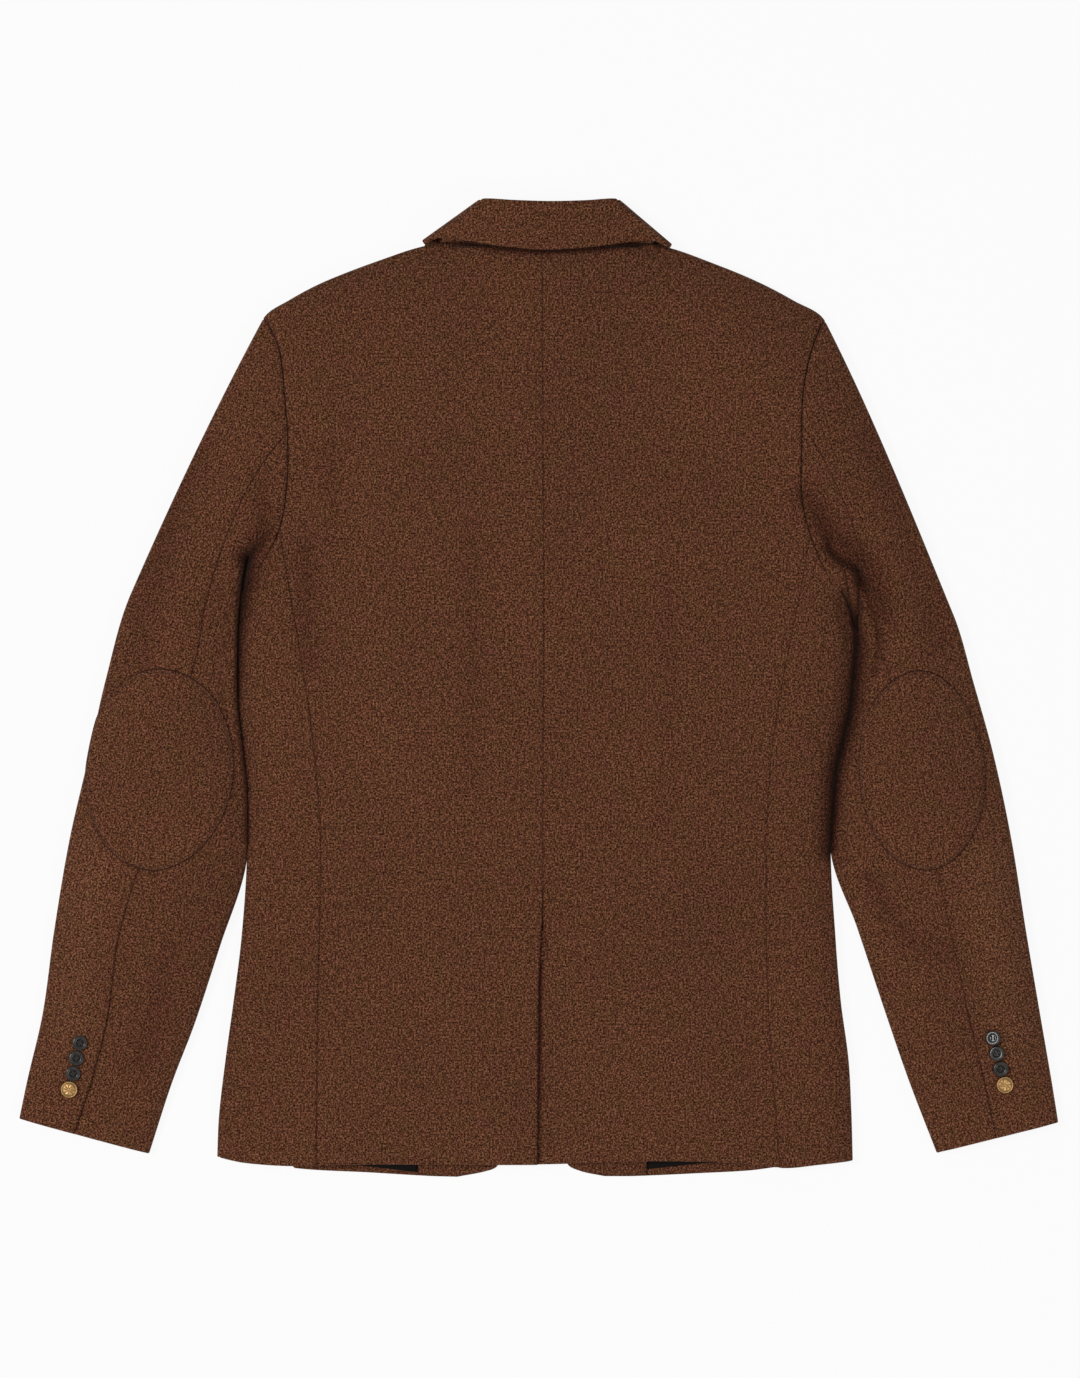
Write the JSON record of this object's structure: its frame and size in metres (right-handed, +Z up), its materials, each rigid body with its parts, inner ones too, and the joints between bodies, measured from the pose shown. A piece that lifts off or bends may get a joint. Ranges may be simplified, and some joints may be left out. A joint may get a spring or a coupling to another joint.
{
  "type": "two-button blazer",
  "caption": "Single-breasted tweed blazer laid flat on its front, back up, sleeves beside it, with oval elbow patches, a centre vent and a folded collar.",
  "frame": {"origin": "middle of the footprint, on the surface the garment lies on", "axes": "+X to the right across the back as it lies, +Y from the hem towards the collar, +Z up from the surface to the back of the garment"},
  "size_m": [0.8165, 0.7684, 0.0306],
  "materials": {
    "tweed": "brushed wool tweed",
    "patch_tweed": "brushed wool tweed",
    "lining": "smooth satin",
    "dark_button": "polished horn-like resin",
    "brass": "satin, softly embossed"
  },
  "bodies": {
    "root": {"back_left": "tweed", "back_right": "tweed", "side_left": "tweed", "side_right": "tweed", "front_left": "tweed", "front_right": "tweed", "lapel_left": "tweed", "lapel_right": "tweed", "collar": "tweed", "facing_left": "tweed", "facing_right": "tweed", "top_sleeve_left": "tweed", "top_sleeve_right": "tweed", "under_sleeve_left": "tweed", "under_sleeve_right": "tweed", "elbow_patch_left": "patch_tweed", "elbow_patch_right": "patch_tweed", "lining_left": "lining", "lining_right": "lining", "cuff_button_left_1": "dark_button", "cuff_button_left_2": "dark_button", "cuff_button_left_3": "dark_button", "cuff_button_left_4": "brass", "cuff_button_right_1": "dark_button", "cuff_button_right_2": "dark_button", "cuff_button_right_3": "dark_button", "cuff_button_right_4": "brass", "front_button_1": "dark_button", "front_button_2": "dark_button"}
  },
  "joints": []
}
